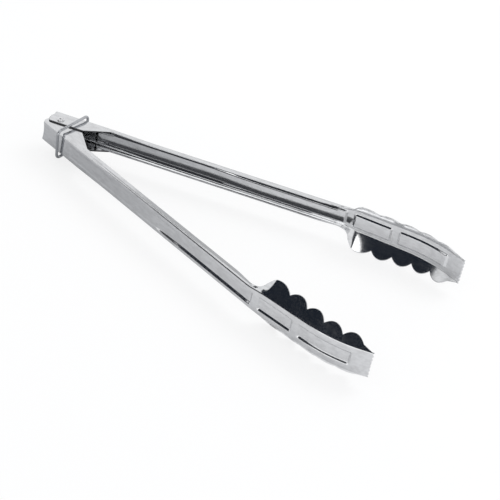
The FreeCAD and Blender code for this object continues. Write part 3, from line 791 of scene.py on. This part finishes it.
def add_ring(material):
    """A rounded rectangle of wire, closed by a butt joint under the head."""
    wide, tall = RING_HALF
    flat, steep = wide - RING_CORNER, tall - RING_CORNER
    shares = (RING_GAP / flat, 0.3, 0.6, 0.85)
    path = [Vector((0, share * flat, -tall)) for share in shares]
    centres = ((flat, -steep, -90), (flat, steep, 0), (-flat, steep, 90), (-flat, -steep, 180))
    for y, z, start in centres:
        for step in range(13):
            angle = (start + 90 * step / 12) * DEG
            path.append(Vector((0, y + RING_CORNER * math.cos(angle), z + RING_CORNER * math.sin(angle))))
    path += [Vector((0, -share * flat, -tall)) for share in reversed(shares)]
    points, faces = tube(path, RING_WIRE / 2, sides=32)
    place = Matrix.Translation(PIVOT + Vector((RING_PLACE * MM, 0, 0)))
    turn = Matrix.Rotation(-RING_SWING * DEG, 4, "Z") @ Matrix.Rotation(RING_LEAN * DEG, 4, "X")
    ring = make_object("ring", points, faces, material, place @ turn)
    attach(ring, "ring")
    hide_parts("lock_ring")


# ---- floor, light and surroundings

FLOOR_COLOUR = (0.81, 0.812, 0.818, 1.0)
FLOOR_MIRRORED_SHADE = (0.55, 0.555, 0.565, 1.0)    # painted shade on the floor on the head's side, which only the steel's reflections show
FLOOR_SHADE_FADE = (-0.13, 0.09)                      # where the plain floor turns into that painted shade, along X
FLOOR_LIFT = 0.72                               # share of plain white in what the eye sees of the floor
FLOOR_GLOW = 1.06                               # the strength of that white
FLOOR_SIZE = 3.0
FLOOR_DROP = 0.0001                             # how far the floor lies under the jaws


def add_floor():
    material = bpy.data.materials.new("floor_paper")
    material.use_nodes = True
    tree = material.node_tree
    tree.nodes.clear()
    place = add_node(tree, "ShaderNodeTexCoord").outputs["Object"]
    along = add_node(tree, "ShaderNodeSeparateXYZ", {0: place}).outputs[0]
    rays = add_node(tree, "ShaderNodeLightPath").outputs
    # Painted shade: rays that the steel mirrors see the floor darker on the head's side.
    mirrored_shade = math_node(tree, "MULTIPLY", ramp_node(tree, along, *FLOOR_SHADE_FADE, 1.0, 0.0), rays["Is Glossy Ray"])
    colour = add_node(tree, "ShaderNodeMix", {"Factor": mirrored_shade}, data_type="RGBA")
    colour.inputs["A"].default_value = FLOOR_COLOUR
    colour.inputs["B"].default_value = FLOOR_MIRRORED_SHADE
    paper = add_node(tree, "ShaderNodeBsdfDiffuse", {"Color": colour.outputs["Result"]})
    glow = add_node(tree, "ShaderNodeEmission", {"Color": (1.0, 1.0, 1.0, 1.0), "Strength": FLOOR_GLOW})
    lift = math_node(tree, "MULTIPLY", rays["Is Camera Ray"], FLOOR_LIFT)
    both = add_node(tree, "ShaderNodeMixShader", {0: lift, 1: paper.outputs[0], 2: glow.outputs[0]})
    add_node(tree, "ShaderNodeOutputMaterial", {"Surface": both.outputs[0]})
    mesh = bpy.data.meshes.new("floor")
    square = ((-1, -1), (1, -1), (1, 1), (-1, 1))
    corners = [(x * FLOOR_SIZE, y * FLOOR_SIZE, -FLOOR_DROP) for x, y in square]
    mesh.from_pydata(corners, [], [(0, 1, 2, 3)])
    mesh.materials.append(material)
    floor = bpy.data.objects.new("floor", mesh)
    bpy.context.scene.collection.objects.link(floor)


SKY = (0.885, 0.89, 0.90, 1.0)
# Tones of the painted reflections: DARK, DIM and GREY paint shade and shadows, and BRIGHT glows as painted
# highlights.
DARK = (0.012, 0.016, 0.024, 1.0)
DIM = (0.05, 0.052, 0.057, 1.0)
GREY = (0.5, 0.505, 0.515, 1.0)
BRIGHT = (1.6, 1.6, 1.6, 1.0)
OVERHEAD = 0.52             # height of the cards over the tongs, metres
IN_FRONT = -1.0             # Y of the cards in front of them


def level_card(left, right, front, back):
    around = ((left, front), (right, front), (right, back), (left, back))
    return [(x, y, OVERHEAD) for x, y in around]


def upright_card(left, right, low, high):
    around = ((left, low), (right, low), (right, high), (left, high))
    return [(x, IN_FRONT, z) for x, z in around]


def card_by_far_arm(height, places):
    """Corners of a level card beside the far arm, from places (along, inward) of its web, in millimetres."""
    turn = Matrix.Rotation(OPEN_ANGLE * DEG, 3, "Z")
    corners = [PIVOT + turn @ Vector((along, WEB - inward, 0)) * MM for along, inward in places]
    return [(corner.x, corner.y, height * MM) for corner in corners]


def arc(along, inward, radius, start, end, steps):
    """Places on an arc about (along, inward), from one angle to another in degrees."""
    turns = [mix(start, end, step / steps) * DEG for step in range(steps + 1)]
    return [(along + radius * math.cos(turn), inward + radius * math.sin(turn)) for turn in turns]


# Painted reflections: cards which only the polished steel mirrors, the dark ones as painted shade and
# shadows, the bright ones as painted highlights; their colour and their corners in metres.
CARDS = {
    # Painted dark reflection above and in front, which the jaws' wings mirror as black.
    "dark_reflection_above": (DARK, [
        (-0.62, -0.18, OVERHEAD),
        (-0.62, -0.70, OVERHEAD),
        (0.34, -0.70, OVERHEAD),
        (0.34, -0.28, OVERHEAD),
        (-0.17, -0.28, OVERHEAD),
        (-0.21, -0.43, OVERHEAD),
        (-0.33, -0.43, OVERHEAD),
        (-0.37, -0.22, OVERHEAD),
    ]),
    # Painted dim reflection to the left.
    "dim_reflection_on_left": (DIM, upright_card(-1.45, -0.5, 0.2, 1.1)),
    # Painted shadow under the far arm, which its web mirrors as a dark band.
    "painted_shadow_below_far_arm": (DIM, card_by_far_arm(9.8, [(26, 12.65), (212, 15), (212, 8.2), (26, 8.2)])),
    # Painted shade in the far arm's channel, which its web mirrors.
    "painted_shade_in_far_arm": (DIM, card_by_far_arm(22.0, [(26, 13), (204, 13), (204, 1.7), (26, 1.7)])),
    # Painted shadow on the floor under the far jaw, which its wings mirror.
    "painted_shadow_below_far_jaw": (GREY, card_by_far_arm(0.6, [
        (214.3, 16.7),
        (259.1, 21.5),
        (280.6, 28.8),
        (286.2, 18.2),
        (261.0, 9.6),
        (215.6, 4.9),
    ])),
    # Painted highlight, which the far jaw's first scallop mirrors.
    "highlight_by_far_scallop": (BRIGHT, card_by_far_arm(30.0, [
        (186.3, 12.1),
        *arc(191.1, 33.9, 27.65, -35, 27, 4),
        (196.2, 70.4),
        (172.9, 64.4),
    ])),
    # Painted reflections: grey and dark ones over the back and the jaws as painted shade, and a bright one in
    # front as painted highlights.
    "grey_reflection_behind": (GREY, level_card(-0.47, -0.20, 0.62, 0.86)),
    "dark_reflection_over_back": (DARK, level_card(-0.45, -0.27, 0.12, 0.34)),
    "dark_reflection_over_jaws": (DARK, level_card(-0.05, 0.40, 0.12, 0.34)),
    "highlight_in_front": (BRIGHT, upright_card(-0.35, 0.45, 0.36, 0.64)),
}


def add_surroundings():
    """A white studio, which the camera sees a little brighter than the steel and the floor do."""
    world = bpy.data.worlds.new("studio")
    world.use_nodes = True
    tree = world.node_tree
    tree.nodes.clear()
    around = add_node(tree, "ShaderNodeBackground", {"Color": SKY, "Strength": 1.0})
    white = add_node(tree, "ShaderNodeBackground", {"Color": (1.0, 1.0, 1.0, 1.0), "Strength": 1.0})
    seen = add_node(tree, "ShaderNodeLightPath").outputs["Is Camera Ray"]
    either = add_node(tree, "ShaderNodeMixShader", {0: seen, 1: around.outputs[0], 2: white.outputs[0]})
    add_node(tree, "ShaderNodeOutputWorld", {"Surface": either.outputs[0]})
    bpy.context.scene.world = world


# Each card glows in its own tone and is hidden from the camera, from diffuse light and from shadows, so it is
# only a painted reflection in the steel.
def add_cards():
    for name, (colour, corners) in CARDS.items():
        material = bpy.data.materials.new(name)
        material.use_nodes = True
        tree = material.node_tree
        tree.nodes.clear()
        tone = add_node(tree, "ShaderNodeEmission", {"Color": colour, "Strength": 1.0})
        add_node(tree, "ShaderNodeOutputMaterial", {"Surface": tone.outputs[0]})
        mesh = bpy.data.meshes.new(name)
        mesh.from_pydata(corners, [], [tuple(range(len(corners)))])
        mesh.materials.append(material)
        card = bpy.data.objects.new(name, mesh)
        card.visible_camera = False
        card.visible_diffuse = False
        card.visible_shadow = False
        bpy.context.scene.collection.objects.link(card)


def add_lamp(name, place, aim, side, watts):
    data = bpy.data.lights.new(name, "AREA")
    data.shape = "SQUARE"
    data.size = side
    data.energy = watts
    lamp = bpy.data.objects.new(name, data)
    lamp.location = place
    lamp.rotation_euler = (Vector(aim) - Vector(place)).to_track_quat("-Z", "Y").to_euler()
    lamp.visible_glossy = False
    bpy.context.scene.collection.objects.link(lamp)


# ---- the whole

bpy.context.scene.view_settings.view_transform = "Standard"
add_camera()
add_surroundings()
add_floor()
add_cards()
add_lamp("soft_key", (0.5, 0.9, 1.3), (0.0, 0.0, 0.0), 0.8, 6.0)

steels = make_materials()
arm_form = stamping()
add_arm("near_stamping", "near_arm", True, arm_form, steels["arm"])
add_arm("far_stamping", "far_arm", False, arm_form, steels["arm"])
add_pivot(steels)
add_spring(steels["spring"])
add_ring(steels["ring"])
